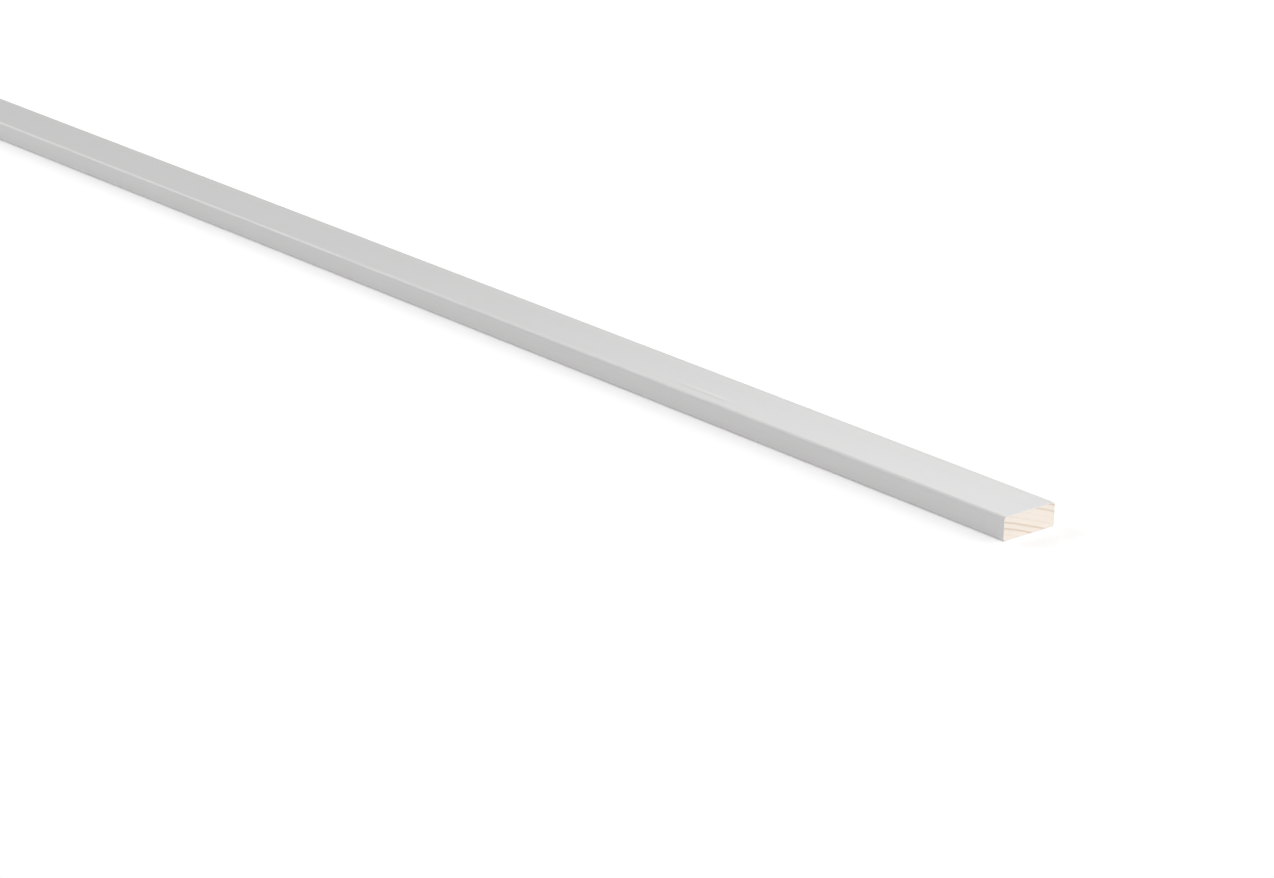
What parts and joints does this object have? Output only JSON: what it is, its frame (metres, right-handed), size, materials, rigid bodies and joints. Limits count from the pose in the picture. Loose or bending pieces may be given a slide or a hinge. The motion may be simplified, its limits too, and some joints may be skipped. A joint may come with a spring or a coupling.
{
  "type": "flat trim strip",
  "caption": "Straight flat lath of painted softwood with eased long edges and bare sawn ends, fixed by its back face to cover a joint or edge.",
  "frame": {"origin": "middle of the back face, which is the flat face that the strip lies on", "axes": "+X along the strip's length, +Y across its width, +Z out of the show face"},
  "size_m": [2.4, 0.022, 0.008],
  "materials": {
    "painted_pine": "satin white paint on the four long faces, bare sawn end grain on both ends"
  },
  "bodies": {
    "root": {"trim_strip": "painted_pine"}
  },
  "joints": []
}
